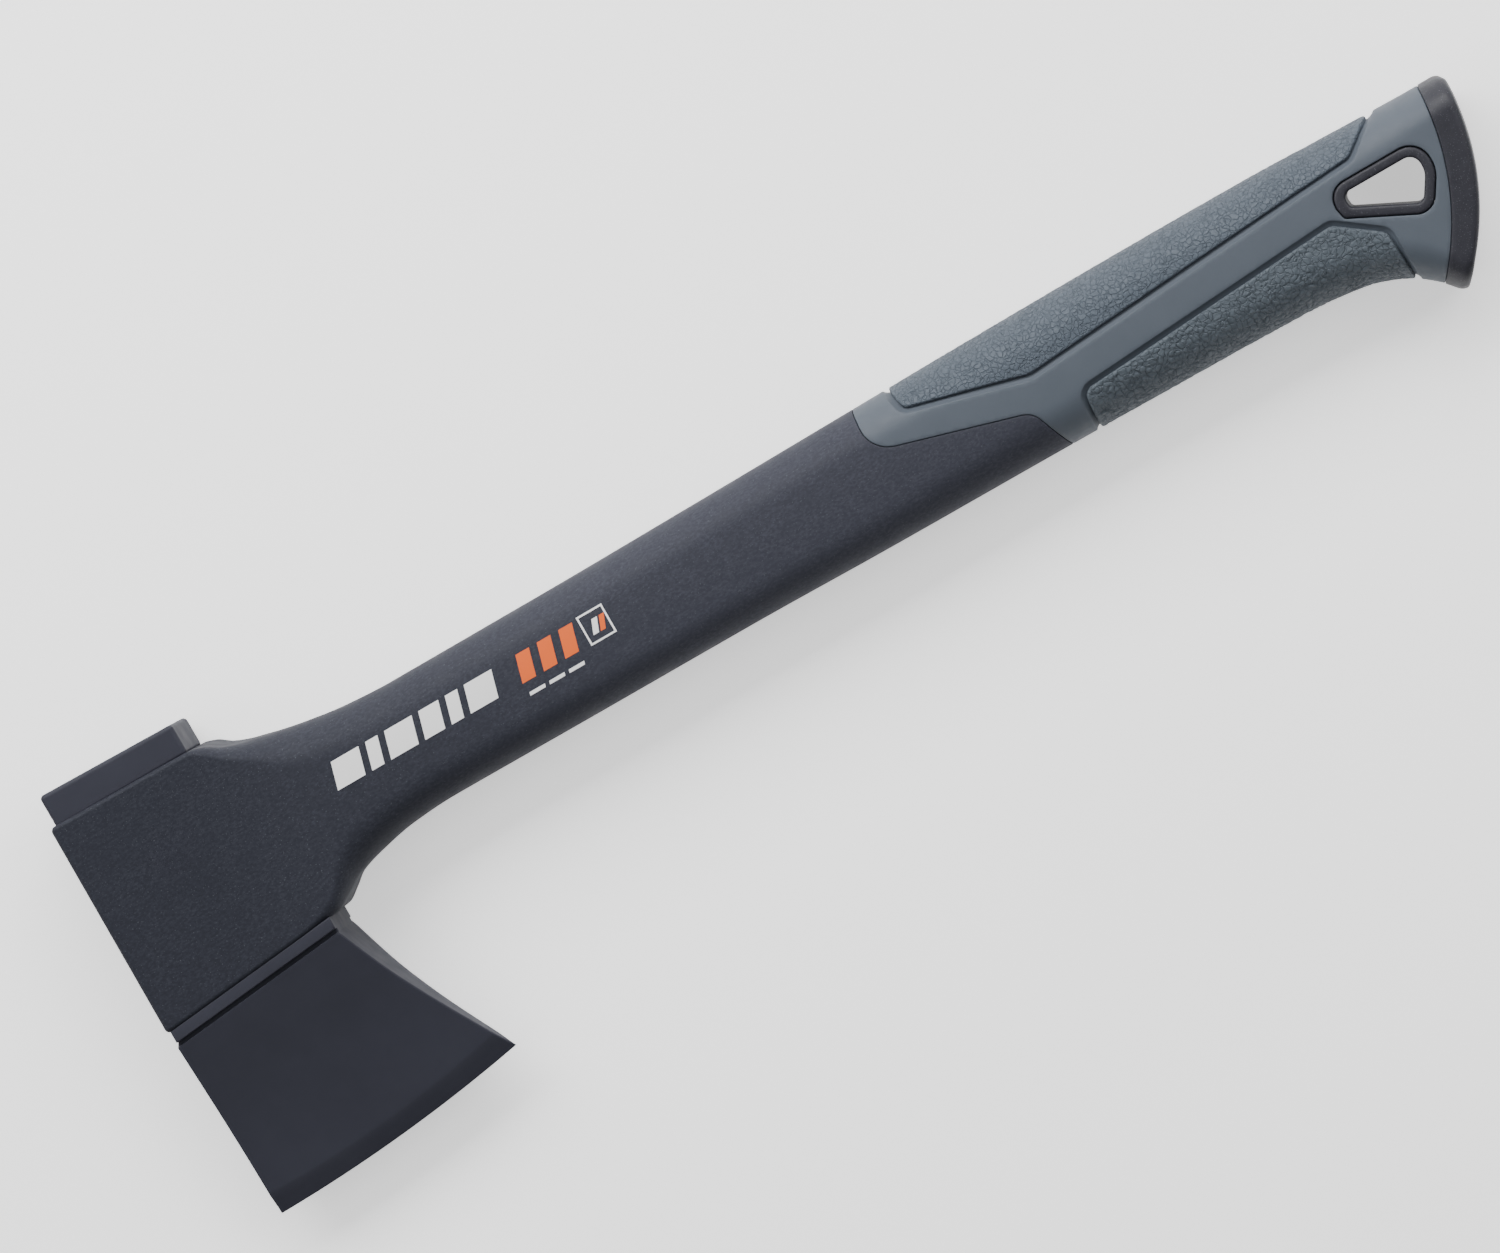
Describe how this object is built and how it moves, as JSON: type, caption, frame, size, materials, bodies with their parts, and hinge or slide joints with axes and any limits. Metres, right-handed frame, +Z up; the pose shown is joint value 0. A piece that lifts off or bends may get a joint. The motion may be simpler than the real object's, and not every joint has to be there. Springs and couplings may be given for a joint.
{
  "type": "felling axe",
  "caption": "Short universal axe: coated forged steel wedge head with a square poll, moulded into a hollow fibre-reinforced handle with a soft grip and a hang hole.",
  "frame": {"origin": "centre of the bounding box on the surface the axe lies on, at z = 0", "axes": "+X along the handle from the head to the butt; +Y from the cutting edge towards the poll; +Z up through the thickness of the axe as it lies on its side"},
  "size_m": [0.444, 0.1366, 0.031],
  "materials": {
    "coated_steel": "matte blue-black release coating on forged carbon steel",
    "fibre_nylon": "glass-fibre reinforced nylon, fine matte moulding texture, black",
    "grip_smooth": "smooth satin thermoplastic elastomer, blue-grey",
    "grip_textured": "thermoplastic elastomer with a leather grain, blue-grey",
    "hard_trim": "semi-gloss hard plastic, black with a plum tint"
  },
  "bodies": {
    "root": {"axe_head": "coated_steel", "handle_shaft": "fibre_nylon", "grip_frame": "grip_smooth", "grip_pad_back": "grip_textured", "grip_pad_belly": "grip_textured", "hang_hole_eyelet": "hard_trim", "butt_cap": "hard_trim"}
  },
  "joints": []
}
